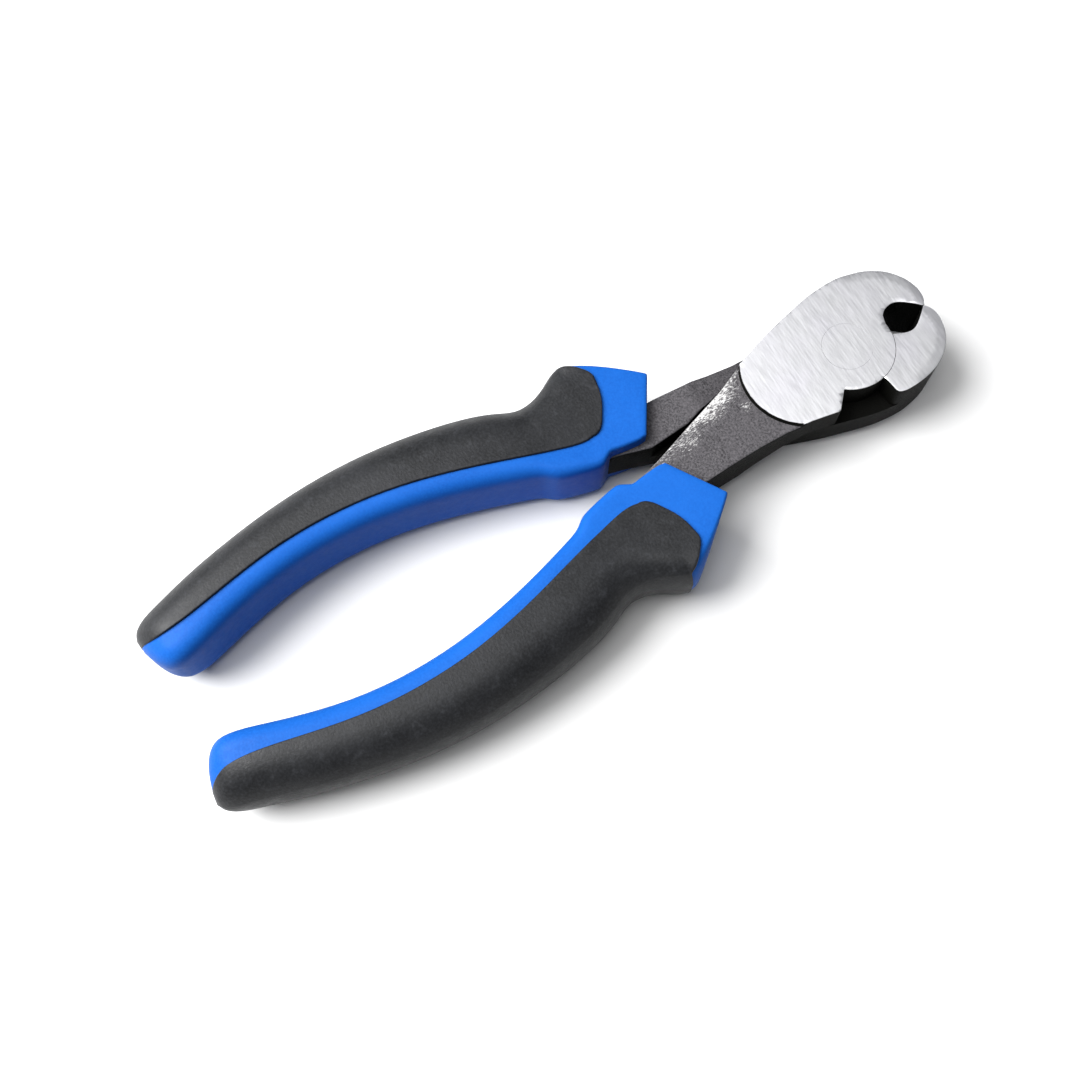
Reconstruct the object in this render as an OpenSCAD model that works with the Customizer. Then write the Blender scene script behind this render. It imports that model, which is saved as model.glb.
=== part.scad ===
// End-cutting nippers with two-material handle grips.
// Each forged half crosses over at a ground lap joint and turns on one flush rivet.
// The rivet's axis is Z, the jaws point along +Y, and z = 0 is the head's ground underside.

/* [Head] */
// Thickness of the head across both laps
head_t = 11.8; // [11.4:0.1:12.4]
// Radius of the round boss where each lap turns inside the other half
boss_r = 9.4; // [9.2:0.05:9.6]
// Gap left between the two cutting edges when the jaws are shut
edge_gap = 0.12; // [0.06:0.02:0.3]
// Gap between the two lap faces
lap_gap = 0.06; // [0.04:0.02:0.12]
// Radial gap of the seam round each boss
seam_gap = 0.1; // [0.06:0.02:0.2]
// Distance from the rivet at which the ground face ends and the forged taper begins
ground_r = 21.5; // [20.5:0.25:22.5]
// Height of the small step down from each ground face to the forged face
forged_step = 0.8; // [0.4:0.1:1]
// Fall of each forged face per millimetre beyond the ground face
forged_fall = 0.04; // [0.02:0.005:0.05]

/* [Rivet] */
// Radius of the rivet's shank
rivet_r = 4.0; // [3.5:0.1:4.5]
// Radius of the rivet's spread ends
rivet_head_r = 5.0; // [4.9:0.1:5.6]
// Depth of the spread ends
rivet_head_t = 1.3; // [0.8:0.1:1.8]
// Radial running clearance of the rivet in the front lever
rivet_clearance = 0.04; // [0.02:0.01:0.08]

/* [Tang] */
// Thickness of the tang inside the grip
tang_t = 7.0; // [6:0.25:8]
// Width of the tang where it leaves the shank
tang_w = 7.0; // [6:0.25:7.5]
// Width of the tang at its end
tang_end_w = 4.6; // [4:0.2:6]

/* [Grip] */
// Half thickness of the guard at the front of the grip
guard_h = 7.0; // [6.9:0.1:7.4]
// Half thickness of the grip core along the handle
grip_h = 8.0; // [7.8:0.1:8.4]
// How far the soft cover stands above the hard core
cover_proud = 0.6; // [0.3:0.1:0.9]
// Depth of the recess in the core that the soft cover fills
cover_sink = 1.2; // [0.8:0.1:1.6]

/* [Hidden] */
mid_z = head_t / 2;
lap_z = lap_gap / 2;
edge_x = edge_gap / 2;
shank_gap = 0.35;      // between the two shanks where they cross, with the jaws shut
shank_end_y = -52;     // where the full shank ends and the tang goes on
envelope_r = 75;       // far enough out to hold the whole forging
curve_steps = 5;       // straight pieces in each span of an outline curve
slot_x = 0.15;         // width of the slanted side of the cover's recess
end_mix_y = -142.3;    // behind this the recess turns into a plain parting plane
wrap_y = -53;          // behind this the cover wraps round the outside of the core
round_fn = 128;

// Outline of one forged half: jaw on the -X side, handle on the +X side, from the jaw's tip
jaw_back = [[-edge_x, 18.6], [-1.3, 19.35], [-2.9, 19.65], [-4.7, 19.45], [-7.2, 18.5], [-10.1, 16.2],
            [-12.2, 12.8], [-13.3, 8.8], [-13.6, 5], [-13.1, -0.3], [-11.9, -5.5], [-10.3, -11.5],
            [-7.3, -20.3]];
jaw_corner = [[-13.6, 4.2], [-13.55, 3.3], [-13.1, 2.8]];
shoulder_in = [-9.1, 2.45];
throat = [[-2.1, 10], [-3.05, 11.2], [-3.4, 13.2], [-2.5, 15.2], [-edge_x, 18.2]];
shank_inside = [[-7.3, -20.3], [-4.6, -26.5], [-1.7, -35.2], [1.3, -43.8], [2.9, -49.2], [3.5, -52]];
shank_outside = [[10.3, -52], [9.9, -38], [9.5, -31.5], [9.3, -26], [9.4, -20], [9.9, -14.8],
                 [10.9, -9]];
step_in_angle = -38;   // direction of the step where the lap ends, seen from the rivet
throat_angle = 92;     // direction where the boss runs into the throat
seam_angle = 104;      // direction where the seam round the other boss leaves the throat
shank_cross_y = -39.7; // where the two shanks stop crossing

// Outline of the guard in front of the wrap plane, and its rim and the pad that the cover fills
guard = [[14.4, -36.9], [2.9, -44.2], [3.8, -51.6], [2.9, wrap_y], [24.2, wrap_y], [25.1, -51.9],
         [25.25, -50.9], [25, -49.8], [24.5, -48.9], [23.6, -47.7]];
// Outlines of one grip on the +X side behind the wrap plane, as [y, x] towards the grip's end
guard_inner = [[-53, 2.9], [-53.9, 2.2], [-62, 4.2], [-64.6, 6.2]];
grip_inner = [[-66, 6.7], [-80, 11], [-92, 13.7], [-104, 14.6], [-116, 13.7], [-128, 10.6],
              [-136, 7.8], [-139.3, 7.4], [-141.3, 8.5], [-142.8, 10.4], [-144, 12.8]];
grip_outer = [[-53, 24.8], [-54.3, 23.9], [-56, 22.9], [-58.4, 22.1], [-60.6, 21.8],
              [-63.5, 22.3], [-68, 24.3], [-80, 27.4], [-92, 28.8], [-104, 28.7], [-116, 27.2], [-128, 24.5],
              [-138, 21.3], [-142.3, 19.9], [-144.4, 18.3], [-145.3, 16.8]];
parting = [[-53, 8], [-55.2, 7.5], [-58.2, 8.2], [-68, 11], [-80, 14.8], [-92, 17.6], [-104, 18.5],
           [-116, 17.8], [-128, 15.2], [-136, 13.5], [-140.5, 13.4], [-142.5, 14], [-145.3, 15.4]];
half_height = [[-53, guard_h], [-62, guard_h + 0.5], [-74, grip_h], [-130, grip_h],
               [-138, grip_h - 0.5], [-141.5, 6.4], [-143.6, 4.8], [-144.8, 3], [-145.3, 1.2]];
inner_power = [[-53, 5], [-66, 4.5], [-140, 4], [-145.3, 2.4]];
outer_power = [[-53, 5], [-60, 3.2], [-70, 2.6], [-145.3, 2.2]];
common_y = concat([wrap_y, -53.9, -56, -58.5, -61, -62, -63.3, -64.6, -66], [for (y = [-70:-5:-130]) y],
                  [-134, -137, -139.3, -141, end_mix_y, end_mix_y - 0.4, -143.4, -143.9]);
core_y = common_y;
cover_y = concat(common_y, [-144.6, -145.2]);
tongue = [[8.3, -53], [8.7, -51.8], [10, -50.3], [13.4, -48.1], [16.4, -46.7], [18.6, -46.4],
          [20.4, -47.3], [22, -49.2], [24.3, -53]];
tongue_floor = guard_h - cover_sink + 0.2;
tongue_t = cover_sink + cover_proud - 0.35;
tang_line = [[-48, 6.6], [-56, 9.2], [-64, 13.4], [-76, 18], [-90, 20.9], [-104, 21.7], [-118, 20.2]];
core_arc = 20;         // points round the bare part of a core section
sunk_arc = 20;         // points round the recess
cover_arc = 22;        // points round the outside of a cover section

// A point of the smooth curve through four neighbours, at t from 0 to 1 of the middle span
function smooth(a, b, c, d, t) =
    0.5 * (2 * b + (c - a) * t + (2 * a - 5 * b + 4 * c - d) * t * t + (3 * b - a - 3 * c + d) * t * t * t);
// The smooth curve through every point of a list
function curve(p) = concat(
    [for (i = [0:len(p) - 2]) for (k = [0:curve_steps - 1])
        smooth(p[max(i - 1, 0)], p[i], p[i + 1], p[min(i + 2, len(p) - 1)], k / curve_steps)],
    [p[len(p) - 1]]);
function flipped(p) = [for (i = [len(p) - 1:-1:0]) p[i]];
function arc(r, from, to, n) = [for (i = [0:n]) r * [cos(from + (to - from) * i / n), sin(from + (to - from) * i / n)]];
function part_of(p, low, high) = [for (q = p) if (q[1] >= low && q[1] <= high) q];
// Value at y of a [y, value] list that runs towards -Y
function at(p, y) = lookup(-y, [for (q = p) [-q[0], q[1]]]);

inner_line = concat(guard_inner, curve(grip_inner));
outer_line = curve(grip_outer);
parting_line = curve(parting);
height_line = curve(half_height);

// Size and shape of the grip's section at y
function in_x(y) = at(inner_line, y);
function out_x(y) = at(outer_line, y) - cover_proud;
function mid_x(y) = (in_x(y) + out_x(y)) / 2;
function half_w(y) = (out_x(y) - in_x(y)) / 2;
function split_x(y) = at(parting_line, y);
// Angle round the section at which its surface, sunk by d, has the given x
function turn(y, x, d) = let (f = (x - mid_x(y)) / (half_w(y) - d))
    acos(sign(f) * pow(min(abs(f), 1), at(f < 0 ? inner_power : outer_power, y) / 2));
// Point of the section at angle a, sunk by d
function rim(y, a, d) = let (c = cos(a), s = sin(a), p = at(c < 0 ? inner_power : outer_power, y))
    [mid_x(y) + sign(c) * (half_w(y) - d) * pow(abs(c), 2 / p),
     sign(s) * (at(height_line, y) - d) * pow(abs(s), 2 / p)];
function sunk_depth(y) = min(cover_sink, 0.25 * at(height_line, y));
function split_angle(y) = turn(y, split_x(y), 0);
function sunk_angle(y) = turn(y, split_x(y) + slot_x, sunk_depth(y));
// Floor of the recess, from below to above, or a plain parting plane at the grip's end
function floor_point(y, k) = let (t = -1 + 2 * k / (sunk_arc - 1), a = sunk_angle(y))
    y < end_mix_y ? [split_x(y) + slot_x, t * 0.97 * rim(y, split_angle(y), 0)[1]]
                  : rim(y, a * t, sunk_depth(y));
function recess(y) = [for (k = [0:sunk_arc - 1]) floor_point(y, k)];
function core_section(y) = let (a = split_angle(y)) concat(
    [for (k = [0:core_arc - 1]) rim(y, a + (360 - 2 * a) * k / (core_arc - 1), 0)], recess(y));
function cover_section(y) = let (a = turn(y, split_x(y) + slot_x, -cover_proud), b = split_angle(y)) concat(
    [for (k = [0:cover_arc - 1]) rim(y, -a + 2 * a * k / (cover_arc - 1), -cover_proud)],
    [rim(y, b, 0)], flipped(recess(y)), [rim(y, -b, 0)]);

// Solid through a row of sections that all have the same number of points
module skin(stations, sections) {
    n = len(sections[0]);
    last = len(stations) - 1;
    points = [for (i = [0:last]) for (p = sections[i]) [p[0], stations[i], p[1]]];
    sides = [for (i = [0:last - 1]) for (k = [0:n - 1]) for (half = [0, 1])
        let (a = i * n + k, b = i * n + (k + 1) % n) half == 0 ? [a, b + n, b] : [a, a + n, b + n]];
    // Each end is closed by strips from one long side of the section to the other.
    ends = [for (k = [0:n / 2 - 2]) for (half = [0, 1])
        half == 0 ? [k, k + 1, n - 2 - k] : [k, n - 2 - k, n - 1 - k]];
    far_ends = [for (f = ends) [last * n + f[0], last * n + f[2], last * n + f[1]]];
    polyhedron(points = points, faces = concat(sides, ends, far_ends), convexity = 6);
}

// Half of the head that shows on the front face: jaw, boss, lap and shank
module upper_outline() {
    polygon(concat(curve(jaw_back), shank_inside, shank_outside,
        arc(boss_r, step_in_angle, throat_angle, 40), curve(throat)));
}

// The jaw behind the lap plane, cut round the other half's boss
module lower_jaw_outline() {
    polygon(concat(part_of(curve(jaw_back), 4.3, 30), jaw_corner, [shoulder_in],
        flipped(arc(boss_r + seam_gap, seam_angle, 165, 24)), part_of(curve(throat), 10.6, 19)));
}

// The shank behind the lap plane, clear of the other half's crossing shank
module lower_shank_outline() {
    crossing = [for (p = part_of(shank_inside, shank_cross_y, -20)) [shank_gap - p[0], p[1]]];
    polygon(concat([[9.75, -16.4]], crossing, part_of(shank_inside, -60, shank_cross_y),
        part_of(shank_outside, -60, -16)));
}

module shank_outline() {
    polygon(concat(part_of(shank_inside, -60, -34), part_of(shank_outside, -60, -34)));
}

module tang_outline() {
    line = curve(tang_line);
    last = len(line) - 1;
    half = [for (i = [0:last]) (tang_w + (tang_end_w - tang_w) * i / last) / 2];
    polygon(concat([for (i = [0:last]) [line[i][1] - half[i], line[i][0]]],
        [for (i = [last:-1:0]) [line[i][1] + half[i], line[i][0]]]));
}

// The forging's outside: parallel ground faces near the rivet, a small step down, then a slow taper
module envelope() {
    step_z = mid_z - forged_step;
    rim_z = step_z - forged_fall * (envelope_r - ground_r);
    rotate_extrude($fn = round_fn)
        polygon([[0, -mid_z], [ground_r, -mid_z], [ground_r, -step_z], [envelope_r, -rim_z],
                 [envelope_r, rim_z], [ground_r, step_z], [ground_r, mid_z], [0, mid_z]]);
}

module tang() {
    translate([0, 0, -tang_t / 2])
        linear_extrude(tang_t)
            tang_outline();
}

// Rivet shape, grown all round by a clearance
module rivet_shape(grow, length) {
    r = rivet_r + grow;
    head_r = rivet_head_r + grow;
    rotate_extrude($fn = round_fn)
        polygon([[0, -length / 2], [head_r, -length / 2], [head_r, -mid_z], [r, rivet_head_t - mid_z],
                 [r, mid_z - rivet_head_t], [head_r, mid_z], [head_r, length / 2], [0, length / 2]]);
}

// One forged half about the middle of the rivet
module lever(bore_clearance) {
    difference() {
        union() {
            intersection() {
                union() {
                    translate([0, 0, lap_z])
                        linear_extrude(mid_z)
                            upper_outline();
                    translate([0, 0, -mid_z])
                        linear_extrude(mid_z + lap_z)
                            lower_jaw_outline();
                    translate([0, 0, -mid_z])
                        linear_extrude(mid_z + lap_z)
                            lower_shank_outline();
                }
                envelope();
            }
            tang();
        }
        rivet_shape(bore_clearance, head_t + 2);
    }
}

module tongue_pads() {
    for (side = [-1, 1])
        scale([1, 1, side])
            translate([0, 0, tongue_floor])
                linear_extrude(tongue_t)
                    polygon(tongue);
}

// The guard at the front of the core: a flat plate round the shank, with room for the cover's pads
module guard_block() {
    difference() {
        linear_extrude(2 * guard_h, center = true)
            polygon(guard);
        tongue_pads();
        intersection() {
            linear_extrude(head_t, center = true)
                shank_outline();
            envelope();
        }
        tang();
    }
}

module grip_core() {
    guard_block();
    difference() {
        skin(core_y, [for (y = core_y) core_section(y)]);
        tang();
    }
}

module grip_cover() {
    skin(cover_y, [for (y = cover_y) cover_section(y)]);
    tongue_pads();
}

// The front half as drawn, and the back half as the same shape turned over
module front_side() {
    translate([0, 0, mid_z])
        children();
}

module back_side() {
    translate([0, 0, mid_z])
        rotate([0, 180, 0])
            children();
}

module front_lever() {
    color("silver")
        front_side()
            lever(rivet_clearance);
}

module back_lever() {
    color("gray")
        back_side()
            lever(0);
}

module rivet() {
    color("gainsboro")
        front_side()
            intersection() {
                rivet_shape(0, head_t);
                cylinder(r = 2 * rivet_head_r, h = head_t, center = true, $fn = round_fn);
            }
}

module front_grip_core() {
    color("royalblue")
        front_side()
            grip_core();
}

module back_grip_core() {
    color("royalblue")
        back_side()
            grip_core();
}

module front_grip_cover() {
    color("dimgray")
        front_side()
            grip_cover();
}

module back_grip_cover() {
    color("dimgray")
        back_side()
            grip_cover();
}

back_lever();
front_lever();
rivet();
back_grip_core();
front_grip_core();
back_grip_cover();
front_grip_cover();
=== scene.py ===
"""Looks for end-cutting nippers with two-material grips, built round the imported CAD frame.

Shapes are worked out in millimetres about the middle of the rivet, for the half whose handle
lies towards +X. The other half is the same shape turned over about the tool's length.
"""

import math

import bmesh
import bpy
import numpy as np
from mathutils import Matrix, Vector
from mathutils.geometry import delaunay_2d_cdt


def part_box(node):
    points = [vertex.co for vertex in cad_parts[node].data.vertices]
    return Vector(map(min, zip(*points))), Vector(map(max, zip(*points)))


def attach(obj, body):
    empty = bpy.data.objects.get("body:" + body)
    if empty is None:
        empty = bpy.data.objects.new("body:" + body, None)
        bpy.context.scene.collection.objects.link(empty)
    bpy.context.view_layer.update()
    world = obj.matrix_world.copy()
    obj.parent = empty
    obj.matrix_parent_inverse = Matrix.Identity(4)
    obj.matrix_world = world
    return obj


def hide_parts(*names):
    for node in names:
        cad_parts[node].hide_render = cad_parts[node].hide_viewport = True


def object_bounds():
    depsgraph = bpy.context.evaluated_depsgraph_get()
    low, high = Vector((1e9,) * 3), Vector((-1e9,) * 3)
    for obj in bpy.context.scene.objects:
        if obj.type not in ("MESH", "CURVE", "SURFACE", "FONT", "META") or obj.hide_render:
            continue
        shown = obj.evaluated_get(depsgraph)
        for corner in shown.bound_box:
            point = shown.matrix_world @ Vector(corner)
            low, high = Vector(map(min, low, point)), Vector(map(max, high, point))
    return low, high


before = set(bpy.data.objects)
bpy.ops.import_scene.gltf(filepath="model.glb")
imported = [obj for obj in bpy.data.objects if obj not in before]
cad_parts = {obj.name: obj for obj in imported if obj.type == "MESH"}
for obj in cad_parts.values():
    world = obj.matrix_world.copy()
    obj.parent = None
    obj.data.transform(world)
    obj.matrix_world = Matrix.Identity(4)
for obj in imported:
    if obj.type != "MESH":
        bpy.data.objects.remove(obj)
cad_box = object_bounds()

MM = 0.001
rivet_low, rivet_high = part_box("rivet")
MID_Z = (rivet_low.z + rivet_high.z) / 2 / MM        # height of the mid-plane
HALF_T = (rivet_high.z - rivet_low.z) / 2 / MM       # half thickness of the ground head
FLOOR_Z = cad_box[0].z
UP = Matrix.Translation((0, 0, MID_Z * MM))
SIDES = {
    "front": UP @ Matrix.Scale(MM, 4),
    "back": UP @ Matrix.Rotation(math.pi, 4, "Y") @ Matrix.Scale(MM, 4),
}
BODY = {"front": "front_half", "back": "back_half"}


# ---------------------------------------------------------------- mesh helpers

def put(name, verts, faces, side, weld=0.0, smooth_angle=40):
    """A mesh object from millimetre points, placed as one half of the tool."""
    mesh = bpy.data.meshes.new(name)
    mesh.from_pydata([tuple(map(float, v)) for v in verts], [], faces)
    bm = bmesh.new()
    bm.from_mesh(mesh)
    if weld:
        bmesh.ops.remove_doubles(bm, verts=bm.verts, dist=weld)
    bmesh.ops.recalc_face_normals(bm, faces=bm.faces)
    bm.to_mesh(mesh)
    bm.free()
    mesh.transform(SIDES[side])
    mesh.shade_smooth()
    if smooth_angle:
        mesh.set_sharp_from_angle(angle=math.radians(smooth_angle))
    obj = bpy.data.objects.new(name, mesh)
    bpy.context.scene.collection.objects.link(obj)
    return obj


def subdivide(obj, levels):
    mod = obj.modifiers.new("smooth", "SUBSURF")
    mod.levels = levels
    mod.render_levels = levels
    mod.boundary_smooth = "PRESERVE_CORNERS"


def catmull(points, steps):
    """Points along the smooth curve through a list of points."""
    p = np.array(points, float)
    n = len(p)
    out = []
    for i in range(n - 1):
        a, b, c, d = p[max(i - 1, 0)], p[i], p[i + 1], p[min(i + 2, n - 1)]
        for k in range(steps):
            t = k / steps
            out.append(0.5 * (2 * b + (c - a) * t + (2 * a - 5 * b + 4 * c - d) * t * t
                              + (3 * b - a - 3 * c + d) * t ** 3))
    out.append(p[-1])
    return np.array(out)


def circle_arc(radius, start, end, steps):
    a = np.radians(np.linspace(start, end, steps + 1))
    return np.stack([radius * np.cos(a), radius * np.sin(a)], 1)


# ---------------------------------------------------------------- grips

# Each row crosses the grip from a point on its inner side to one on its outer side:
# inner x, inner y, outer x, outer y, half height, inner corner, outer corner width and height
GRIP_ROWS = [
    (2.9, -44.2, 14.4, -36.9, 7.0, 0.7, 0.7, 0.7),
    (3.0, -45.4, 16.5, -39.4, 7.0, 0.7, 0.7, 0.7),
    (3.15, -47.0, 19.1, -42.4, 7.0, 0.8, 0.9, 0.9),
    (3.35, -48.8, 21.7, -45.4, 7.0, 0.8, 1.4, 2.0),
    (3.6, -50.4, 23.6, -47.7, 7.0, 0.9, 2.1, 3.6),
    (3.75, -51.3, 24.5, -48.9, 7.0, 0.9, 2.6, 4.8),
    (3.55, -51.9, 25.0, -49.8, 7.0, 1.0, 2.9, 5.5),
    (2.9, -52.9, 25.25, -50.9, 7.0, 1.2, 3.1, 6.0),
    (2.3, -53.8, 25.2, -51.9, 7.0, 1.5, 3.3, 6.2),
    (2.3, -54.8, 24.6, -53.4, 7.0, 1.6, 3.5, 6.4),
    (2.75, -57.0, 23.1, -55.8, 7.1, 1.8, 4.1, 6.6),
    (3.3, -59.3, 22.1, -58.3, 7.2, 2.0, 4.8, 6.7),
    (3.85, -61.5, 21.75, -60.4, 7.3, 2.2, 5.4, 6.8),
    (4.4, -62.9, 21.8, -62.0, 7.4, 2.3, 5.8, 6.9),
    (5.4, -64.1, 22.2, -63.5, 7.5, 2.4, 6.2, 7.0),
    (6.2, -65.2, 22.9, -65.0, 7.6, 2.5, 6.4, 7.1),
    (6.9, -67.0, 23.9, -67.0, 7.7, 2.7, 6.7, 7.3),
    (8.2, -71.0, 25.4, -71.0, 7.9, 2.9, 7.0, 7.4),
    (11.0, -80.0, 27.4, -80.0, 8.0, 3.0, 7.0, 7.6),
    (13.7, -92.0, 28.8, -92.0, 8.0, 3.0, 7.0, 7.6),
    (14.6, -104.0, 28.7, -104.0, 8.0, 3.0, 7.0, 7.6),
    (13.7, -116.0, 27.2, -116.0, 8.0, 3.0, 7.0, 7.6),
    (10.6, -128.0, 24.5, -128.0, 8.0, 3.0, 7.0, 7.6),
    (8.5, -134.0, 22.7, -134.0, 7.8, 3.0, 6.8, 7.4),
    (7.5, -138.5, 21.2, -138.5, 7.4, 3.0, 6.5, 7.0),
    (7.9, -140.8, 20.4, -141.2, 6.4, 3.0, 5.8, 6.0),
    (9.4, -142.6, 19.6, -143.0, 4.8, 2.8, 4.4, 4.4),
    (11.8, -143.8, 18.6, -144.4, 3.0, 1.8, 2.6, 2.7),
    (14.2, -144.6, 17.4, -144.9, 1.2, 0.8, 1.1, 1.0),
]
WRAP_ROW = 7.2        # from this row on the cover wraps round the outer side
PROUD = 0.6           # how far the cover stands above the core
SINK = 0.7            # how far the cover reaches below the core's surface
LIP = 0.4             # width of the cover's rounded lip
CORE_END_X, COVER_END_X = 15.8, 16.6    # where the core's and the cover's ends fold shut
# Where the cover starts on the top of the grip, along its length, as [y, x]
PARTING = [(-53, 7.9), (-55, 7.5), (-58.2, 8.2), (-68, 11), (-80, 14.8), (-92, 17.6),
           (-104, 18.5), (-116, 17.8), (-128, 15.2), (-136, 13.5), (-140.5, 13.4),
           (-142.5, 14.0), (-145.3, 15.4)]
# The pad on the guard: row, where it starts and where it ends
PAD = [(3.2, 16.6, 18.6), (3.35, 13.8, 19.7), (3.6, 12.3, 20.6), (4, 10.6, 21.6), (4.5, 9.5, 22.3),
       (5, 8.8, 22.85), (5.9, 8.2, 23.5), (6.6, 7.95, 23.95), (WRAP_ROW, 7.8, 24.35)]
PAD_COLUMNS = 8
SIDE_COLUMNS = 7      # from the pad's outer edge down to the mid-plane


def grip_row(t):
    """Row t of the grip, between two rows of the list if t isn't whole."""
    i = min(int(t), len(GRIP_ROWS) - 2)
    a, b = np.array(GRIP_ROWS[i]), np.array(GRIP_ROWS[i + 1])
    return a + (b - a) * (t - i)


class Section:
    """Cross-section of the grip at one row, in distance s from its inner side and height z."""

    def __init__(self, t):
        v = grip_row(t)
        self.inner, self.outer = v[0:2], v[2:4]
        self.length = float(np.linalg.norm(self.outer - self.inner))
        self.along = (self.outer - self.inner) / self.length
        self.height, self.ri, self.aw, self.ah = v[4:8]
        covered = min(max((t - int(WRAP_ROW)) / 0.4, 0), 1)
        self.width = self.length - PROUD * covered

    def point(self, s, z):
        p = self.inner + self.along * s
        return (p[0], p[1], z)

    def s_at(self, x):
        return (x - self.inner[0]) / self.along[0]

    def parting(self):
        s = np.linspace(0, self.length, 400)
        x = self.inner[0] + self.along[0] * s
        y = self.inner[1] + self.along[1] * s
        r = np.array(PARTING)
        split = np.interp(-y, -r[:, 0], r[:, 1])
        return float(s[np.argmin(np.abs(x - split))])

    def core_ring(self, inset=0.0):
        """The core's outline, as 2 x half - 2 points round the section."""
        w, h = self.width - inset, self.height - inset
        ri = max(self.ri - inset, 0.15)
        aw, ah = max(self.aw - inset, 0.15), max(self.ah - inset, 0.15)
        s0 = inset
        half = [(s0, 0), (s0, (h - ri) * 0.55), (s0, h - ri)]
        for a in (30, 60):
            turn = math.radians(a)
            half.append((s0 + ri * (1 - math.cos(turn)), h - ri + ri * math.sin(turn)))
        half.append((s0 + ri, h))
        top_end = w - aw
        for f in (0.25, 0.5, 0.75, 1):
            half.append((s0 + ri + (top_end - s0 - ri) * f, h))
        for a in (67.5, 45, 22.5):
            half.append((top_end + aw * math.cos(math.radians(a)), h - ah + ah * math.sin(math.radians(a))))
        half += [(w, h - ah), (w, (h - ah) * 0.5), (w, 0)]
        ring = half + [(s, -z) for s, z in half[-2:0:-1]]
        return [self.point(s, z) for s, z in ring]

    def cover_line(self, start, offset):
        """Outline of the covered half from start over the top to the mid-plane, moved out by offset."""
        w, h = self.width + offset, self.height + offset
        aw, ah = max(self.aw + offset, 0.3), max(self.ah + offset, 0.3)
        ah = min(ah, h)
        start = min(start, w - aw - 0.05)
        a = np.radians(np.linspace(90, 0, 40))
        pts = [(start, h)] + [(w - aw + aw * math.cos(q), h - ah + ah * math.sin(q)) for q in a] + [(w, 0)]
        return np.array(pts)

    def pad_line(self, start, end, offset):
        """The same outline, only as far as the pad's outer edge."""
        line = self.cover_line(start, offset)
        end = min(end, line[:, 0].max() - 0.02)
        n = int(np.argmax(line[:, 0] >= end))
        a, b = line[n - 1], line[n]
        f = (end - a[0]) / max(b[0] - a[0], 1e-9)
        return np.array(list(line[:n]) + [a + (b - a) * f])


def along_line(points, fractions):
    """Points at fractions of a polyline's length."""
    step = np.linalg.norm(np.diff(points, axis=0), axis=1)
    total = np.concatenate([[0], np.cumsum(step)])
    at = np.array(fractions) * total[-1]
    return np.stack([np.interp(at, total, points[:, k]) for k in range(2)], 1)


def grip_core(side):
    rings = []
    first = Section(0)
    back = np.array([first.along[1], -first.along[0]])
    for inset, depth in ((0.65, 0.0), (0.2, 0.08), (0.0, 0.55)):
        ring = first.core_ring(inset)
        rings.append([(x + back[0] * depth, y + back[1] * depth, z) for x, y, z in ring])
    for t in range(1, len(GRIP_ROWS)):
        rings.append(Section(t).core_ring())
    last = rings[-1]
    rings.append([(x + (CORE_END_X - x) * 0.2, y - 0.15, 0.0) for x, y, z in last])
    n = len(last)
    verts = [p for ring in rings for p in ring]
    faces = [[r * n + c, r * n + (c + 1) % n, (r + 1) * n + (c + 1) % n, (r + 1) * n + c]
             for r in range(len(rings) - 1) for c in range(n)]
    faces.append(list(range(n))[::-1])
    obj = put(side + "_core", verts, faces, side, weld=0.02, smooth_angle=0)
    subdivide(obj, 2)
    return obj


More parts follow.
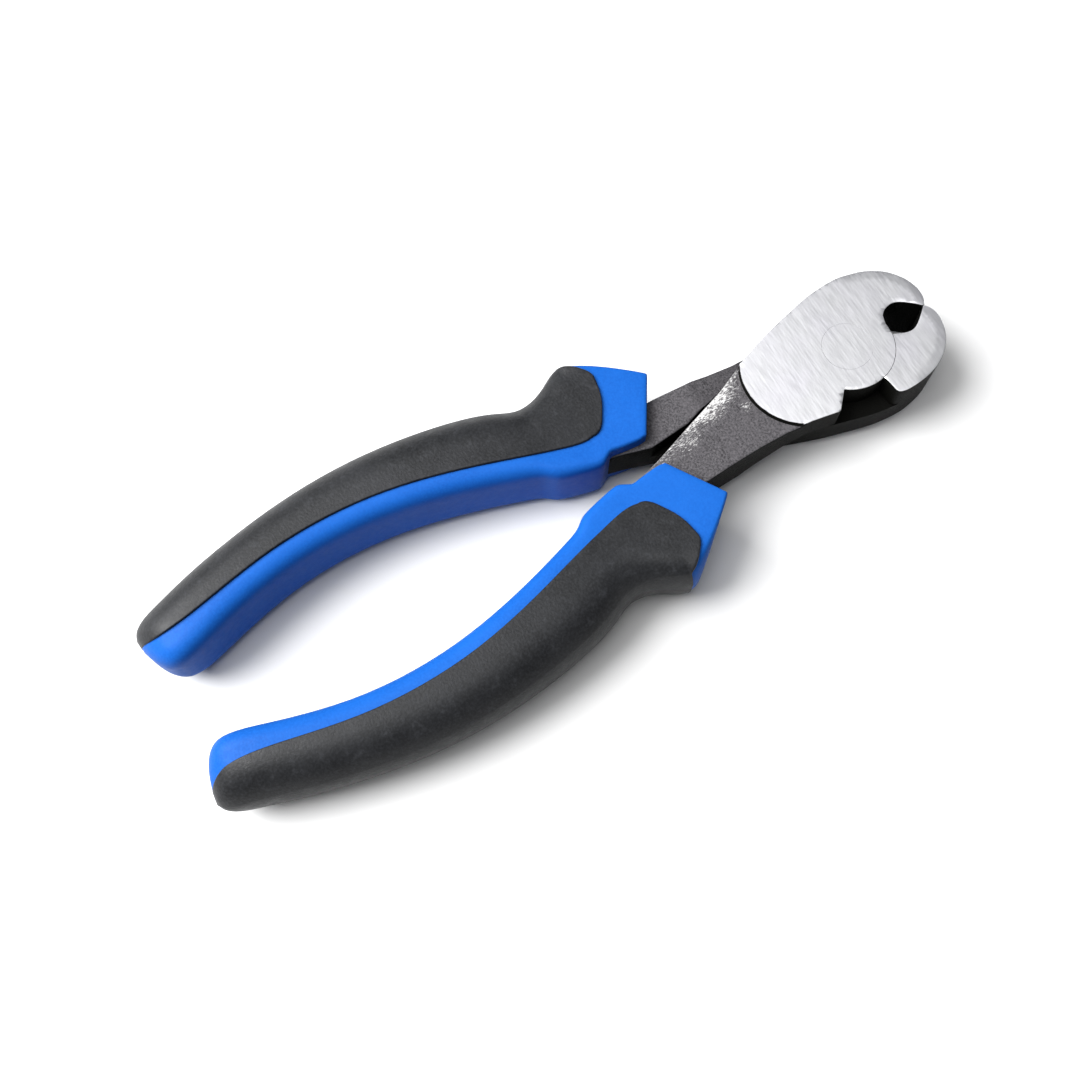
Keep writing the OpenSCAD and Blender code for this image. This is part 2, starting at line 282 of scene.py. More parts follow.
def grip_cover(side):
    rows = [t for t, _, _ in PAD] + [WRAP_ROW + 0.25] + list(range(int(WRAP_ROW) + 1, len(GRIP_ROWS)))
    half = PAD_COLUMNS + SIDE_COLUMNS
    wrap = Section(WRAP_ROW)
    start, end = (wrap.s_at(x) for x in PAD[-1][1:])

    def span(points):
        return float(np.sum(np.linalg.norm(np.diff(points, axis=0), axis=1)))

    pad_span = span(wrap.pad_line(start, end, PROUD))
    pad_share = pad_span / span(wrap.cover_line(start, PROUD))

    def pad_fractions(width):
        lip = min(LIP / width, 0.12)
        return [0, lip] + list(np.linspace(lip, 1 - lip, PAD_COLUMNS - 2))[1:-1] + [1 - lip, 1]

    wrap_fractions = [f * pad_share for f in pad_fractions(pad_span)]
    wrap_fractions += list(np.linspace(pad_share, 1, SIDE_COLUMNS + 1))[1:]

    verts, index = [], {}

    def add(key, point):
        index[key] = len(verts)
        verts.append(point)

    for r, t in enumerate(rows):
        sec = Section(t)
        pad = [p for p in PAD if p[0] == t]
        for layer, offset in ((0, PROUD), (1, -SINK)):
            if r == len(rows) - 1 and layer == 1:
                offset = -0.3
            if t < WRAP_ROW:
                whole = sec.pad_line(sec.s_at(pad[0][1]), sec.s_at(pad[0][2]), offset)
                line = along_line(whole, pad_fractions(span(whole)))
            else:
                start = sec.s_at(pad[0][1]) if pad else sec.parting()
                line = along_line(sec.cover_line(start, offset), wrap_fractions)
            for c, (s, z) in enumerate(line):
                add((r, c, layer), sec.point(s, z))
                if c < half - 1 or t < WRAP_ROW:
                    add((r, 2 * half - 2 - c, layer), sec.point(s, -z))
    # the end row folds flat, which closes the cover
    r = len(rows)
    for layer in (0, 1):
        for c in range(2 * half - 1):
            x, y, z = verts[index[(r - 1, c, layer)]]
            add((r, c, layer), (x + (COVER_END_X - x) * 0.35, y - (0.3 if layer == 0 else 0.0), 0.0))
    faces = []
    edges = {}

    def quad(keys):
        faces.append([index[k] for k in keys])

    for r in range(len(rows)):
        for c in range(2 * half - 2):
            keys = [(r, c), (r, c + 1), (r + 1, c + 1), (r + 1, c)]
            if all((k[0], k[1], 0) in index for k in keys):
                quad([k + (0,) for k in keys])
                quad([k + (1,) for k in keys[::-1]])
                for k in range(4):
                    pair = frozenset((keys[k], keys[(k + 1) % 4]))
                    edges[pair] = edges.get(pair, 0) + 1
    for pair, count in edges.items():
        if count == 1:
            a, b = sorted(pair)
            if a[0] == b[0] == len(rows):
                continue
            quad([a + (0,), b + (0,), b + (1,), a + (1,)])
    obj = put(side + "_cover", verts, faces, side, weld=0.02, smooth_angle=0)
    subdivide(obj, 2)
    return obj


# ---------------------------------------------------------------- levers

EDGE_X = 0.06
BOSS_R = 9.4
SEAM_GAP = 0.1
LAP_Z = 0.03
GROUND_X, GROUND_Y, GROUND_R = -0.7, -10.05, 12.15   # the ground face ends on this arc
GROUND_STEP = 0.8     # and the forged face starts this much lower
STEP_W = 0.25
FORGED_FALL = 0.04
RISE_Y, RISE = -17, 0.3   # the part of the shank below the lap plane grows thicker from here
RIVET_R, RIVET_HEAD_R, RIVET_HEAD_T = 4.0, 5.0, 1.3
FACET_W = 1.9         # ground facet along the jaw's outer edge
FACET_SLOPE = 0.12
JAW_BACK = [(-EDGE_X, 18.6), (-1.3, 19.35), (-2.9, 19.65), (-4.7, 19.45), (-7.2, 18.5), (-10.1, 16.2),
            (-12.2, 12.8), (-13.3, 8.8), (-13.6, 5), (-13.1, -0.3), (-11.9, -5.5), (-10.3, -11.5),
            (-7.3, -20.3)]
JAW_CORNER = [(-13.38, 3.6), (-13.12, 3.1), (-12.6, 2.8)]
SHOULDER_IN = (-9.1, 2.45)
THROAT = [(-2.1, 10), (-3.05, 11.2), (-3.4, 13.2), (-2.5, 15.2), (-EDGE_X, 18.2)]
SHANK_IN = [(-7.3, -20.3), (-4.6, -26.5), (-1.7, -35.2), (1.3, -43.8), (2.9, -49.2), (3.5, -52)]
SHANK_OUT = [(10.3, -52), (9.9, -38), (9.5, -31.5), (9.3, -26), (9.4, -20), (9.9, -14.8), (10.9, -9)]
SHANK_GAP = 0.35      # between the two shanks where they cross
FORGED_SOFT, GROUND_SOFT = 0.35, 0.12   # rounding of the forged and the ground edges
CELL = 0.12           # no two points that fill a face share a cell of this size


def resample(points, spacing):
    """The same polyline with no stretch longer than spacing."""
    out = []
    for a, b in zip(points[:-1], points[1:]):
        n = max(1, int(math.ceil(np.linalg.norm(np.subtract(b, a)) / spacing)))
        out += [tuple(np.array(a) + (np.array(b) - a) * k / n) for k in range(n)]
    return out + [tuple(points[-1])]


def inside(points, polygon):
    """Which points lie inside a polygon."""
    p = np.asarray(points, float)
    poly = np.asarray(polygon, float)
    x, y = p[:, 0:1], p[:, 1:2]
    x0, y0 = poly[:, 0], poly[:, 1]
    x1, y1 = np.roll(x0, -1), np.roll(y0, -1)
    crosses = (y0 > y) != (y1 > y)
    with np.errstate(divide="ignore", invalid="ignore"):
        at = x0 + (y - y0) * (x1 - x0) / (y1 - y0)
    return (np.sum(crosses & (x < at), axis=1) % 2) == 1


def distance(points, line, closed=True):
    """Distance from each point to each stretch of a polyline."""
    p = np.asarray(points, float)[:, None, :]
    a = np.asarray(line, float)
    b = np.roll(a, -1, axis=0)
    if not closed:
        a, b = a[:-1], b[:-1]
    d = b - a
    t = np.clip(np.sum((p - a) * d, axis=2) / np.maximum(np.sum(d * d, axis=1), 1e-12), 0, 1)
    return np.linalg.norm(p - a - d * t[:, :, None], axis=2)


def triangulated(points, loops, keep):
    """Constrained triangles over points, with loops of point numbers kept as edges."""
    edges = []
    for loop, closed in loops:
        n = len(loop)
        edges += [(loop[i], loop[(i + 1) % n]) for i in range(n if closed else n - 1)]
    co, _, tris, origin, _, _ = delaunay_2d_cdt([Vector((float(p[0]), float(p[1]))) for p in points],
                                                edges, [], 0, 1e-5, True)
    if len(co) != len(points):
        raise ValueError(f"the outline crosses itself: {len(points)} points became {len(co)}")
    number = [o[0] for o in origin]
    tris = [[number[i] for i in f] for f in tris]
    centres = np.array([[sum(points[i][k] for i in f) / 3 for k in (0, 1)] for f in tris])
    good = keep(centres)
    return [f for f, g in zip(tris, good) if g]


def ground_depth(points):
    """Distance inside the arc where the ground face ends; negative out on the forged shank."""
    p = np.asarray(points, float)
    squeeze = np.clip(1 - (p[:, 1] - GROUND_Y) / 8, 0.5, 1)
    return GROUND_R - np.hypot((p[:, 0] - GROUND_X) * squeeze, np.minimum(p[:, 1] - GROUND_Y, 0))


def split_at(outline, level):
    """The same outline with a point added wherever it crosses a depth of the ground face."""
    depth = ground_depth(outline) - level
    out = []
    for i, p in enumerate(outline):
        j = (i + 1) % len(outline)
        out.append(p)
        if depth[i] * depth[j] < 0 and min(abs(depth[i]), abs(depth[j])) > 0.02:
            out.append(p + (outline[j] - p) * depth[i] / (depth[i] - depth[j]))
    return np.array(out)


def lever(side, bore_gap):
    jaw = [tuple(p) for p in catmull(JAW_BACK, 10)]
    shank_in = resample(SHANK_IN, 0.8)
    shank_out = resample(SHANK_OUT, 0.8)
    boss = [tuple(p) for p in circle_arc(BOSS_R, -38, 92, 90)]
    throat = [tuple(p) for p in catmull(THROAT, 10)]
    outline = jaw + shank_in[1:] + resample([SHANK_IN[-1], SHANK_OUT[0]], 0.8)[1:-1] + shank_out
    outline += resample([SHANK_OUT[-1], boss[0]], 0.6)[1:-1] + boss
    outline += resample([boss[-1], throat[0]], 0.6)[1:-1] + throat
    outline = split_at(split_at(np.array(outline), 0.0), -STEP_W)
    n_out = len(outline)
    # how round each edge is: crisp where the boss runs in its seam, softer on the forging
    angle = np.degrees(np.arctan2(outline[:, 1], outline[:, 0]))
    radius = np.linalg.norm(outline, axis=1)
    on_boss = np.abs(radius - BOSS_R) < 0.02
    soft = np.where(ground_depth(outline) < -0.1, FORGED_SOFT, GROUND_SOFT)
    soft = np.where(on_boss, GROUND_SOFT * np.clip(np.abs(angle - 45) / 6 - 5, 0, 1), soft)

    # the parts below the lap plane, as paths that cross the outline's inside
    def nearest(p):
        return int(np.argmin(np.linalg.norm(outline - np.array(p), axis=1)))

    seam = [tuple(p) for p in circle_arc(BOSS_R + SEAM_GAP, 165, 104, 40)]
    jaw_path = JAW_CORNER + resample([JAW_CORNER[-1], SHOULDER_IN, seam[0]], 0.6)[1:-1] + seam
    j0, j1 = nearest((-13.6, 4.4)), nearest((-3.0, 11.05))
    crossing = [(SHANK_GAP - x, y) for x, y in SHANK_IN[:3]]
    s0, s1 = nearest((9.78, -16.3)), nearest(SHANK_IN[3])
    cross_path = resample([tuple(outline[s0])] + crossing + [tuple(outline[s1])], 0.8)[1:-1]
    jaw_poly = list(outline[:j0 + 1]) + jaw_path + list(outline[j1:])
    shank_poly = list(outline[s1:s0 + 1]) + cross_path

    top_r = RIVET_HEAD_R + bore_gap
    low_r = RIVET_R + bore_gap
    bore = 96

    def beyond_hole(hole_r):
        return lambda c: inside(c, outline) & (np.linalg.norm(c, axis=1) > hole_r * 0.999)

    def height(points, edges, softness):
        """Height of the ground or forged face, and how near an edge it is."""
        p = np.asarray(points, float)
        beyond = np.maximum(-ground_depth(p), 0)
        z = HALF_T - FORGED_FALL * beyond - GROUND_STEP * np.clip(beyond / STEP_W, 0, 1)
        d_outer = distance(p, np.array(jaw), closed=False).min(axis=1)
        share = np.clip((p[:, 1] - 7.5) / 2.5, 0, 1)
        z -= share * FACET_SLOPE * np.maximum(FACET_W - d_outer, 0)
        d = distance(p, edges)
        w = np.minimum(d, softness)
        drop = (softness - np.sqrt(np.maximum(softness ** 2 - (softness - w) ** 2, 0))).max(axis=1)
        worn = np.clip(1 - d.min(axis=1) / 0.45, 0, 1)
        return z - drop, worn

    def inner_points(poly, softness, hole_r):
        """Points that fill a face: rows near its edges, then an even spread."""
        poly = np.asarray(poly, float)
        ahead = np.roll(poly, -1, axis=0) - np.roll(poly, 1, axis=0)
        normal = np.stack([-ahead[:, 1], ahead[:, 0]], 1)
        normal /= np.maximum(np.linalg.norm(normal, axis=1, keepdims=True), 1e-9)
        area = np.sum(poly[:, 0] * np.roll(poly[:, 1], -1) - np.roll(poly[:, 0], -1) * poly[:, 1])
        normal *= np.sign(area)
        out = []
        for share in (0.3, 1.0):
            ring = poly + normal * (softness * share)[:, None]
            d = distance(ring, poly).min(axis=1)
            out.append(ring[(d > softness * share * 0.9) & inside(ring, poly)])
        ground = np.array([(GROUND_X + x, GROUND_Y + y) for r in (GROUND_R - 0.01, GROUND_R + STEP_W + 0.01)
                           for x, y in circle_arc(r, 180, 360, 130)])
        facet = np.array(jaw)
        turn = np.gradient(facet, axis=0)
        inward = np.stack([-turn[:, 1], turn[:, 0]], 1)
        inward /= np.linalg.norm(inward, axis=1, keepdims=True)
        facet = facet + inward * FACET_W
        step = 0.9
        gx, gy = np.meshgrid(np.arange(-15, 15, step), np.arange(-56, 21, step * 0.87))
        gx = gx + (np.arange(gx.shape[0]) % 2)[:, None] * step / 2
        grid = np.stack([gx.ravel(), gy.ravel()], 1)
        for extra, room, clear in ((ground, 0.15, 0), (facet, 0.35, 0.35), (grid, 0.35, 0.35)):
            extra = extra[inside(extra, poly)]
            limit = room + softness.max() * 0.5
            extra = extra[distance(extra, poly).min(axis=1) > limit]
            r = np.linalg.norm(extra, axis=1)
            extra = extra[r > hole_r + 0.3]
            if clear and len(extra):
                extra = extra[np.abs(ground_depth(extra) + STEP_W / 2) > clear]
            out.append(extra)
        pts = np.concatenate(out)
        kept = []
        cells = set()
        for p in pts:
            key = (int(p[0] / CELL // 1), int(p[1] / CELL // 1))
            if key in cells:
                continue
            cells.add(key)
            kept.append(tuple(p))
        return kept

    ring = [(math.cos(2 * math.pi * k / bore), math.sin(2 * math.pi * k / bore)) for k in range(bore)]
    verts, faces, wear = [], [], []

    def push(x, y, z, w=0.0):
        verts.append((x, y, z))
        wear.append(w)
        return len(verts) - 1

    # top face
    fill = inner_points(outline, soft, top_r)
    pts = [tuple(p) for p in outline] + [(top_r * x, top_r * y) for x, y in ring] + fill
    loops = [(list(range(n_out)), True), (list(range(n_out, n_out + bore)), True)]
    tris = triangulated(pts, loops, beyond_hole(top_r))
    z, worn = height(pts, outline, soft)
    top = [push(p[0], p[1], h, w) for p, h, w in zip(pts, z, worn)]
    faces += [[top[i] for i in f] for f in tris]
    top_hole = top[n_out:n_out + bore]

    # underside: the lap face, and below it the jaw and the shank
    n_jaw, n_cross = len(jaw_path), len(cross_path)
    low_fill_jaw = inner_points(jaw_poly, np.full(len(jaw_poly), 0.2), 0)
    low_fill_shank = inner_points(shank_poly, np.full(len(shank_poly), FORGED_SOFT), 0)
    pts = [tuple(p) for p in outline] + jaw_path + cross_path
    pts += [(low_r * x, low_r * y) for x, y in ring] + low_fill_jaw + low_fill_shank
    a, b = n_out, n_out + n_jaw
    jaw_ids = list(range(a, b))
    cross_ids = list(range(b, b + n_cross))
    hole_ids = list(range(b + n_cross, b + n_cross + bore))
    loops = [(list(range(n_out)), True), ([j0] + jaw_ids + [j1], False),
             ([s0] + cross_ids + [s1], False), (hole_ids, True)]
    tris = triangulated(pts, loops, beyond_hole(low_r))
    centres = np.array([np.mean([pts[i] for i in f], axis=0) for f in tris])
    in_jaw, in_shank = inside(centres, jaw_poly), inside(centres, shank_poly)
    lap = {}
    deep = {}
    crisp = np.full(len(jaw_poly), GROUND_SOFT)
    crisp[j0 + 1 + len(jaw_path) - len(seam):j0 + 1 + len(jaw_path)] = 0.0
    zj, wj = height(pts, np.array(jaw_poly), crisp)
    zs, ws = height(pts, np.array(shank_poly), np.full(len(shank_poly), FORGED_SOFT))
    zs = np.minimum(zs, 0.4 + np.maximum(RISE_Y - np.array(pts)[:, 1], 0) * RISE)

    def lap_vertex(i):
        if i not in lap:
            lap[i] = push(pts[i][0], pts[i][1], LAP_Z)
        return lap[i]

    def deep_vertex(i, part):
        if (i, part) not in deep:
            zz, ww = (zj, wj) if part == 1 else (zs, ws)
            deep[(i, part)] = push(pts[i][0], pts[i][1], -zz[i], ww[i])
        return deep[(i, part)]

    part_of_edge = {}
    for f, pj, ps in zip(tris, in_jaw, in_shank):
        part = 1 if pj else 2 if ps else 0
        faces.append([lap_vertex(i) if part == 0 else deep_vertex(i, part) for i in f][::-1])
        for k in range(3):
            part_of_edge.setdefault(frozenset((f[k], f[(k + 1) % 3])), []).append(part)
    for i in range(n_out):
        j = (i + 1) % n_out
        part = part_of_edge[frozenset((i, j))][0]
        faces.append([top[i], lap_vertex(i), lap_vertex(j), top[j]])
        if part:
            faces.append([lap_vertex(i), deep_vertex(i, part), deep_vertex(j, part), lap_vertex(j)])
    for pair, parts in part_of_edge.items():
        if len(parts) == 2 and parts[0] != parts[1]:
            i, j = pair
            part = max(parts)
            faces.append([lap_vertex(i), lap_vertex(j), deep_vertex(j, part), deep_vertex(i, part)])
    neck = [push(low_r * x, low_r * y, HALF_T - RIVET_HEAD_T) for x, y in ring]
    low = [lap_vertex(i) for i in hole_ids]
    for k in range(bore):
        m = (k + 1) % bore
        faces.append([top_hole[k], top_hole[m], neck[m], neck[k]])
        faces.append([neck[k], neck[m], low[m], low[k]])

    obj = put(side + "_steel", verts, faces, side, smooth_angle=50)
    at = np.array(verts)
    rub = np.clip(1 - distance(at[:, :2], np.array(SHANK_IN), closed=False).min(axis=1) / 5, 0, 1)
    rub *= (at[:, 2] > 1) & (at[:, 1] < -19)
    for attribute_name, values in (("wear", wear), ("rub", rub), ("ground", ground_depth(at[:, :2]))):
        attribute = obj.data.attributes.new(attribute_name, "FLOAT", "POINT")
        attribute.data.foreach_set("value", np.array(values, np.float32))
    flat = obj.modifiers.new("flat", "WEIGHTED_NORMAL")
    flat.keep_sharp = True
    return obj


# ---------------------------------------------------------------- materials

class Nodes:
    """Short calls for wiring a material."""

    def __init__(self, name):
        self.mat = bpy.data.materials.new(name)
        self.mat.use_nodes = True
        self.tree = self.mat.node_tree
        self.shader = self.tree.nodes["Principled BSDF"]

    def new(self, kind, **values):
        node = self.tree.nodes.new(kind)
        for key, value in values.items():
            if hasattr(node, key) and key not in node.inputs:
                setattr(node, key, value)
            else:
                node.inputs[key].default_value = value
        return node

    def link(self, a, b):
        self.tree.links.new(a, b)

    def coords(self):
        return self.new("ShaderNodeTexCoord").outputs["Object"]

    def stretch(self, vector, scale, rotation=(0, 0, 0)):
        node = self.new("ShaderNodeMapping")
        node.inputs["Scale"].default_value = scale
        node.inputs["Rotation"].default_value = rotation
        self.link(vector, node.inputs["Vector"])
        return node.outputs["Vector"]

    def noise(self, vector, scale, detail=3.0, roughness=0.5):
        node = self.new("ShaderNodeTexNoise", Scale=scale, Detail=detail, Roughness=roughness)
        self.link(vector, node.inputs["Vector"])
        return node.outputs["Fac"]

    def ramp(self, value, low, high, out_low=0.0, out_high=1.0):
        node = self.new("ShaderNodeMapRange")
        node.inputs["From Min"].default_value = low
        node.inputs["From Max"].default_value = high
        node.inputs["To Min"].default_value = out_low
        node.inputs["To Max"].default_value = out_high
        self.link(value, node.inputs["Value"])
        return node.outputs["Result"]

    def math(self, operation, a, b=None):
        node = self.new("ShaderNodeMath", operation=operation)
        for socket, value in zip(node.inputs, (a, b)):
            if value is None:
                continue
            if isinstance(value, (int, float)):
                socket.default_value = value
            else:
                self.link(value, socket)
        return node.outputs[0]

    def mix(self, factor, a, b):
        node = self.new("ShaderNodeMix", data_type="RGBA")
        sockets = [s for s in node.inputs if s.enabled]
        for socket, value in zip(sockets, (factor, a, b)):
            if isinstance(value, (int, float)):
                socket.default_value = value
            elif isinstance(value, tuple):
                socket.default_value = (*value, 1.0)
            else:
                self.link(value, socket)
        return [s for s in node.outputs if s.enabled][0]

    def mix_linked(self, kind, factor, a, b):
        """Mix of two linked values or vectors."""
        node = self.new("ShaderNodeMix", data_type=kind)
        for socket, value in zip([s for s in node.inputs if s.enabled], (factor, a, b)):
            self.link(value, socket)
        return [s for s in node.outputs if s.enabled][0]

    def bump(self, height, strength, distance_mm):
        node = self.new("ShaderNodeBump", Strength=strength, Distance=distance_mm * MM)
        self.link(height, node.inputs["Height"])
        return node.outputs["Normal"]


def plastic_material():
    """Blue moulding with a fine spark-eroded grain."""
    m = Nodes("blue_plastic")
    co = m.coords()
    grain = m.noise(co, 2200, 3.0, 0.6)
    cloud = m.noise(co, 60, 3.0)
    fleck = m.noise(co, 900, 2.0)
    colour = m.mix(m.ramp(cloud, 0.3, 0.7), (0.0045, 0.056, 0.255), (0.0065, 0.071, 0.305))
    colour = m.mix(m.ramp(grain, 0.36, 0.66, 0.0, 0.5), colour, (0.0085, 0.086, 0.355))
    m.link(colour, m.shader.inputs["Base Color"])
    m.link(m.ramp(fleck, 0.3, 0.7, 0.36, 0.48), m.shader.inputs["Roughness"])
    m.link(m.bump(grain, 0.45, 0.05), m.shader.inputs["Normal"])
    m.shader.inputs["Specular IOR Level"].default_value = 0.05
    return m.mat


def rubber_material():
    """Matt black cover: pebbled grain, with paler rubbed patches."""
    m = Nodes("black_rubber")
    co = m.coords()
    grain = m.noise(co, 2000, 3.0, 0.6)
    cloud = m.noise(co, 90, 4.0, 0.6)
    dust = m.noise(co, 420, 5.0, 0.7)
    colour = m.mix(m.ramp(cloud, 0.35, 0.7), (0.0055, 0.0058, 0.0065), (0.0115, 0.0120, 0.0134))
    colour = m.mix(m.ramp(grain, 0.40, 0.68, 0.0, 0.45), colour, (0.022, 0.023, 0.026))
    colour = m.mix(m.ramp(dust, 0.56, 0.74, 0.0, 0.35), colour, (0.040, 0.042, 0.048))
    m.link(colour, m.shader.inputs["Base Color"])
    m.link(m.ramp(dust, 0.35, 0.7, 0.40, 0.56), m.shader.inputs["Roughness"])
    m.link(m.bump(grain, 0.7, 0.08), m.shader.inputs["Normal"])
    m.shader.inputs["Specular IOR Level"].default_value = 0.18
    return m.mat


STREAK_Y = (-47, -32, -27, -21)       # the worn streak fades in over the first two, out over the last
CHIP_X, CHIP_Y, CHIP_R = 0.6, -23.8, 1.6


def steel_material(shank):
    """Ground and brushed face, with black oxide on the forged shank and the side walls; the walls and the
    recess get a near-black painted shade.
    """
    m = Nodes("lever_steel" if shank else "rivet_steel")
    co = m.coords()
    brushed = m.noise(m.stretch(co, (240, 4200, 240), (0, 0, math.radians(-35))), 1.0, 3.0, 0.6)
    fine = m.noise(m.stretch(co, (300, 6400, 300), (0, 0, math.radians(-28))), 1.0, 2.0, 0.6)
    cloud = m.noise(co, 130, 3.0)
    ground = m.mix(m.ramp(brushed, 0.3, 0.7), (0.82, 0.82, 0.84), (0.88, 0.88, 0.90))
    ground = m.mix(m.ramp(cloud, 0.4, 0.75, 0.0, 0.5), ground, (0.83, 0.81, 0.88))
    ground_rough = m.ramp(fine, 0.3, 0.7, 0.38, 0.48)
    ground_bump = m.bump(brushed, 0.032, 0.02)
    if not shank:
        m.link(ground, m.shader.inputs["Base Color"])
        m.link(ground_rough, m.shader.inputs["Roughness"])
        m.link(ground_bump, m.shader.inputs["Normal"])
        m.shader.inputs["Metallic"].default_value = 1.0
        return m.mat

    split = m.new("ShaderNodeSeparateXYZ")
    m.link(co, split.inputs[0])
    x, y, z = split.outputs
    wobble = m.math("MULTIPLY", m.math("SUBTRACT", m.noise(co, 700, 2.0), 0.5), 0.3)
    depth = m.new("ShaderNodeAttribute", attribute_name="ground").outputs["Fac"]
    near = m.ramp(m.math("ADD", depth, wobble), 0.0, 0.12)
    height = m.math("ABSOLUTE", m.math("SUBTRACT", z, MID_Z * MM))
    high = m.ramp(height, (HALF_T - 0.62) * MM, (HALF_T - 0.42) * MM)
    normal = m.new("ShaderNodeSeparateXYZ")
    m.link(m.new("ShaderNodeTexCoord").outputs["Normal"], normal.inputs[0])
    level = m.ramp(m.math("ABSOLUTE", normal.outputs[2]), 0.35, 0.85)
    polished = m.math("MULTIPLY", m.math("MULTIPLY", near, high), level)

    # black oxide, grainy on the forged faces; painted shade makes the walls and the recess nearly black
    face = m.math("MULTIPLY", level, m.ramp(height, 0.3 * MM, 1.2 * MM))
    forged = m.noise(co, 2600, 4.0, 0.7)
    patches = m.noise(co, 260, 4.0, 0.6)
    oxide_and_painted_shade = m.mix(m.ramp(forged, 0.34, 0.66), (0.020, 0.019, 0.0205), (0.090, 0.086, 0.092))
    oxide_and_painted_shade = m.mix(m.ramp(patches, 0.4, 0.75, 0.0, 0.5), oxide_and_painted_shade, (0.066, 0.062, 0.067))
    oxide_and_painted_shade = m.mix(m.math("MULTIPLY", m.ramp(forged, 0.64, 0.74), 0.5), oxide_and_painted_shade, (0.15, 0.147, 0.148))
    # painted shade: near-black colour wherever the surface is not a level face high on the lever (side
    # walls, recess)
    oxide_and_painted_shade = m.mix(face, (0.0025, 0.0025, 0.0021), oxide_and_painted_shade)

    # bare metal worn along the shank's inner edge
    wear = m.new("ShaderNodeAttribute", attribute_name="wear").outputs["Fac"]
    rub = m.new("ShaderNodeAttribute", attribute_name="rub").outputs["Fac"]
    hairs = m.noise(m.stretch(co, (5200, 1500, 2000), (0, 0, math.radians(20))), 1.0, 4.0, 0.7)
    along = m.math("MULTIPLY", m.ramp(y, STREAK_Y[0] * MM, STREAK_Y[1] * MM, 0.25, 1.0),
                   m.ramp(y, STREAK_Y[2] * MM, STREAK_Y[3] * MM, 1.0, 0.45))
    cover = m.math("MULTIPLY", m.math("MULTIPLY", rub, along), 0.76)
    cover = m.math("ADD", cover, m.ramp(patches, 0.3, 0.7, -0.18, 0.18))
    patch = m.ramp(m.math("ADD", m.ramp(hairs, 0.32, 0.68), cover), 0.9, 1.3)
    patch = m.math("MULTIPLY", patch, m.ramp(rub, 0.02, 0.3))
    line = m.math("MULTIPLY", m.ramp(wear, 0.6, 0.9), m.ramp(rub, 0.8, 0.95, 0.0, 0.8))
    # a small chip beside the ground face
    chip = m.math("SQRT", m.math("ADD", m.math("POWER", m.math("SUBTRACT", x, CHIP_X * MM), 2),
                                 m.math("POWER", m.math("SUBTRACT", y, CHIP_Y * MM), 2)))
    chip = m.math("ADD", m.ramp(chip, 0, CHIP_R * MM, 0.75, 0.0), m.ramp(hairs, 0.32, 0.68))
    chip = m.ramp(chip, 1.05, 1.4)
    bare = m.math("MULTIPLY", m.math("MAXIMUM", m.math("MAXIMUM", line, patch), chip), face)
    oxide_and_painted_shade = m.mix(bare, oxide_and_painted_shade, (0.52, 0.515, 0.51))
    colour = m.mix(polished, oxide_and_painted_shade, ground)
    m.link(colour, m.shader.inputs["Base Color"])
    forged_rough = m.ramp(forged, 0.3, 0.7, 0.45, 0.62)
    m.link(m.mix_linked("FLOAT", polished, forged_rough, ground_rough), m.shader.inputs["Roughness"])
    forged_bump = m.bump(forged, 0.7, 0.12)
    m.link(m.mix_linked("VECTOR", polished, forged_bump, ground_bump), m.shader.inputs["Normal"])
    m.link(m.math("MAXIMUM", polished, m.math("MULTIPLY", bare, 0.6)), m.shader.inputs["Metallic"])
    m.shader.inputs["Specular IOR Level"].default_value = 0.04
    return m.mat


def floor_material():
    m = Nodes("pale_floor")
    co = m.coords()
    m.link(m.mix(m.ramp(m.noise(co, 8), 0.3, 0.7), (0.56, 0.56, 0.56), (0.58, 0.58, 0.58)),
           m.shader.inputs["Base Color"])
    m.shader.inputs["Roughness"].default_value = 0.9
    m.shader.inputs["Specular IOR Level"].default_value = 0.1
    return m.mat


# ---------------------------------------------------------------- build

plastic, rubber, steel = plastic_material(), rubber_material(), steel_material(True)
for side in SIDES:
    core = grip_core(side)
    core.data.materials.append(plastic)
    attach(core, BODY[side])
    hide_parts(side + "_grip_core")
    cover = grip_cover(side)
    cover.data.materials.append(rubber)
    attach(cover, BODY[side])
    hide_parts(side + "_grip_cover")
    forging = lever(side, 0.04)
    forging.data.materials.append(steel)
    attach(forging, BODY[side])
    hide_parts(side + "_lever")
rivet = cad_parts["rivet"]
rivet.data.materials.clear()
rivet.data.materials.append(steel_material(False))

# ---------------------------------------------------------------- floor, lights, camera

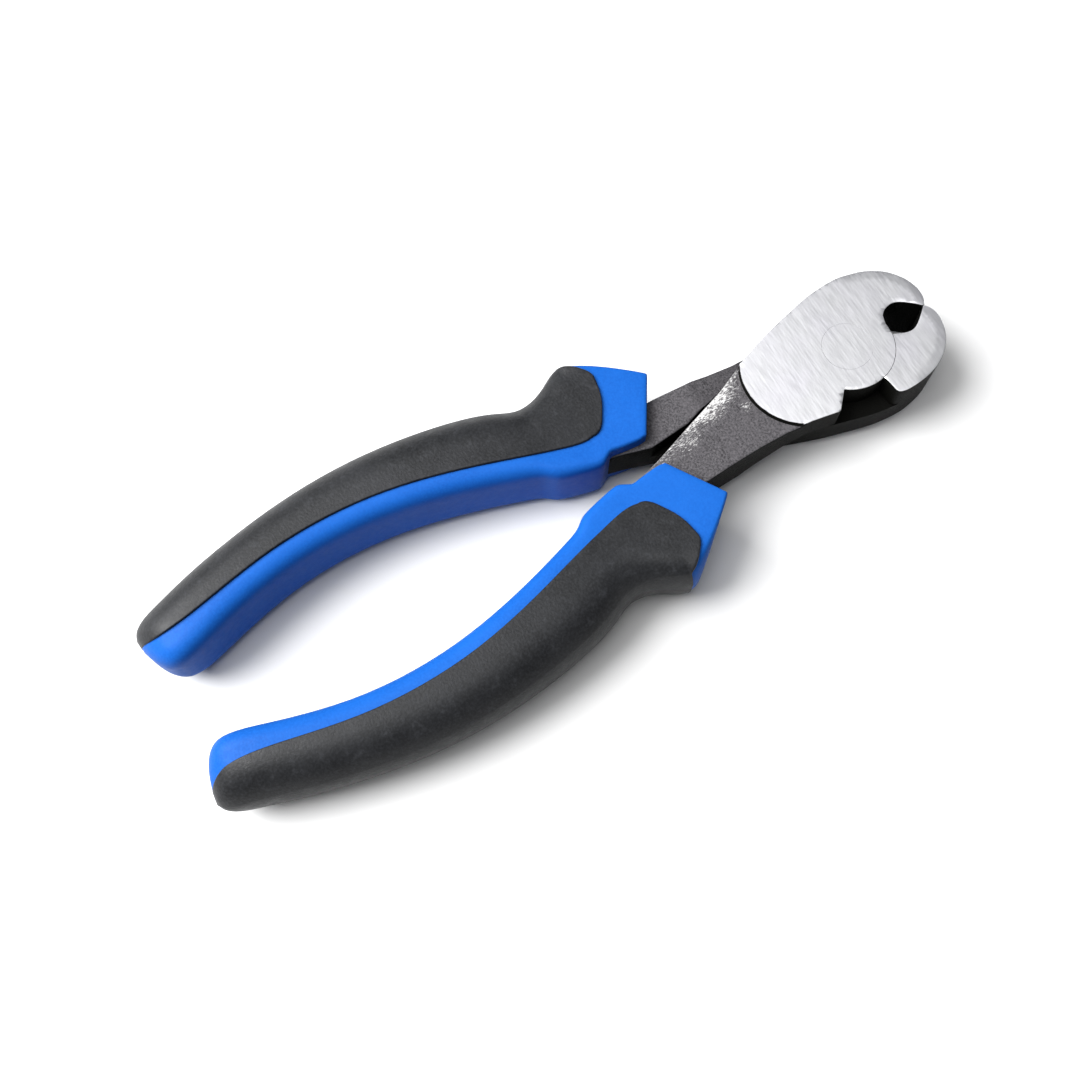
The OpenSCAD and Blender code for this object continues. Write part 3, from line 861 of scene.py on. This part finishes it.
floor_mesh = bpy.data.meshes.new("floor")
reach = 3.0
floor_mesh.from_pydata([(-reach, -reach, FLOOR_Z), (reach, -reach, FLOOR_Z), (reach, reach, FLOOR_Z),
                        (-reach, reach, FLOOR_Z)], [], [(0, 1, 2, 3)])
floor = bpy.data.objects.new("floor", floor_mesh)
bpy.context.scene.collection.objects.link(floor)
floor_mesh.materials.append(floor_material())

TURN, LIFT = math.radians(-59.81), math.radians(70.19)
CAMERA_AT = (-59.9, -35.8, 259.0)     # from the middle of the rivet, along the camera's own axes
right = Vector((math.cos(TURN), -math.sin(TURN), 0))
level = Vector((math.sin(TURN), math.cos(TURN), 0))
up = level * math.sin(LIFT) + Vector((0, 0, math.cos(LIFT)))
back = -level * math.cos(LIFT) + Vector((0, 0, math.sin(LIFT)))
camera_turn = Matrix((right, up, back)).transposed().to_4x4()
camera_data = bpy.data.cameras.new("camera")
camera_data.lens = 43.33
camera_data.sensor_width = 36
camera_data.clip_start = 0.01
camera = bpy.data.objects.new("camera", camera_data)
place = camera_turn @ Vector(CAMERA_AT) + Vector((0, 0, MID_Z))
camera.matrix_world = Matrix.Translation(place * MM) @ camera_turn
bpy.context.scene.collection.objects.link(camera)
bpy.context.scene.camera = camera


def area_light(name, direction, distance_m, size, power):
    """A soft lamp seen from the object's middle along a direction in the camera's own axes."""
    data = bpy.data.lights.new(name, "AREA")
    data.shape = "DISK"
    data.size = size
    data.energy = power
    lamp = bpy.data.objects.new(name, data)
    towards = (right * direction[0] + up * direction[1] + back * direction[2]).normalized()
    middle = (cad_box[0] + cad_box[1]) / 2
    lamp.location = middle + towards * distance_m
    lamp.rotation_mode = "QUATERNION"
    lamp.rotation_quaternion = (-towards).to_track_quat("-Z", "Y")
    bpy.context.scene.collection.objects.link(lamp)


area_light("key", (-0.75, 0.35, 0.7), 0.9, 0.8, 27.0)
area_light("top", (-0.2, 0.3, 1.0), 1.2, 1.0, 10.0)
world = bpy.data.worlds.new("studio")
world.use_nodes = True
world.node_tree.nodes["Background"].inputs["Color"].default_value = (0.95, 0.97, 1.0, 1)
world.node_tree.nodes["Background"].inputs["Strength"].default_value = 0.22
bpy.context.scene.world = world
bpy.context.scene.view_settings.view_transform = "Standard"
